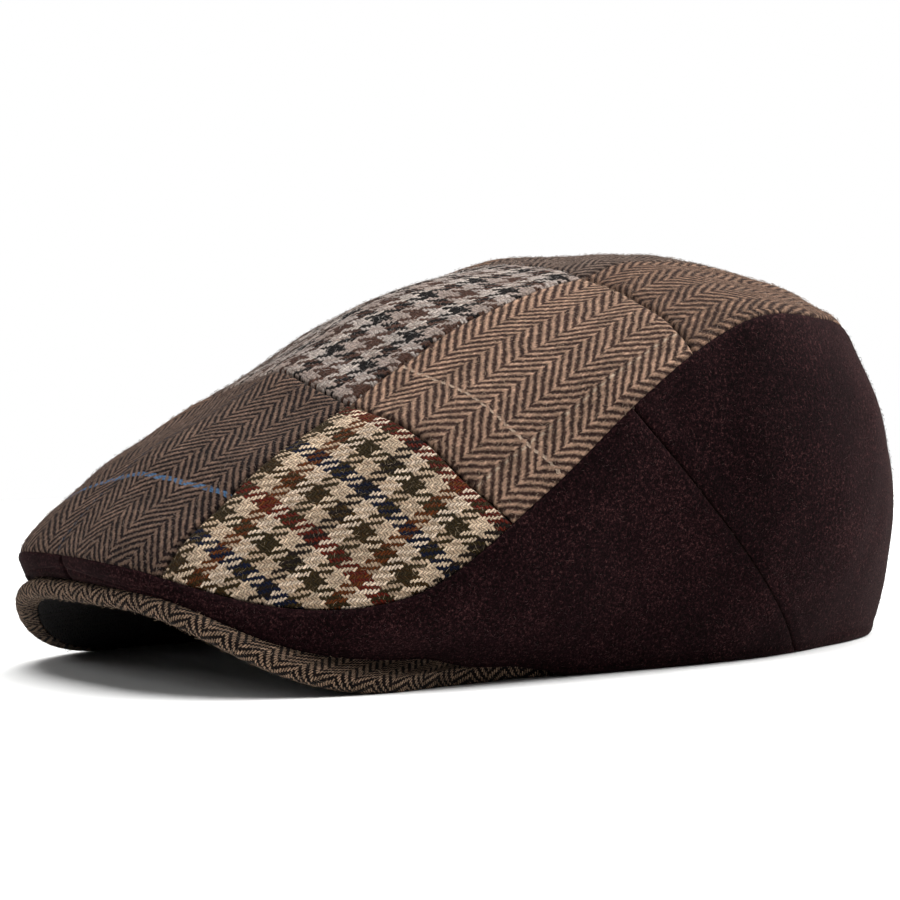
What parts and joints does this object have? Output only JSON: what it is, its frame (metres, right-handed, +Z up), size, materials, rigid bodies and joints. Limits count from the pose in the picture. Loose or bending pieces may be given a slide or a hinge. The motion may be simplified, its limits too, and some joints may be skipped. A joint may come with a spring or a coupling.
{
  "type": "patchwork tweed flat cap",
  "caption": "Flat cap with a tweed patchwork top, dark wool sides and a short arched peak, hollow for a head, lying on a table.",
  "frame": {"origin": "on the table, below the middle of the cap's bounding box", "axes": "+Z up, -Y towards the peak, +X towards the wearer's left"},
  "size_m": [0.204, 0.2693, 0.1165],
  "materials": {
    "dark_wool": "brushed melton wool, matt",
    "dark_herringbone": "herringbone tweed, matt",
    "light_herringbone": "herringbone tweed, matt",
    "cream_houndstooth": "checked wool tweed, matt",
    "grey_houndstooth": "checked wool tweed, matt",
    "peak_tweed": "herringbone tweed, matt"
  },
  "bodies": {
    "root": {"top_patch_front_right": "light_herringbone", "top_patch_front_middle": "dark_herringbone", "top_patch_front_left": "cream_houndstooth", "top_patch_mid_right": "dark_herringbone", "top_patch_mid_middle": "grey_houndstooth", "top_patch_mid_left": "light_herringbone", "top_patch_rear_right": "light_herringbone", "top_patch_rear_middle": "dark_herringbone", "top_patch_rear_left": "light_herringbone", "side_front_right": "dark_wool", "side_rear_right": "dark_wool", "side_front_left": "dark_wool", "side_rear_left": "dark_wool", "peak_cover": "peak_tweed", "peak_facing": "peak_tweed"}
  },
  "joints": []
}
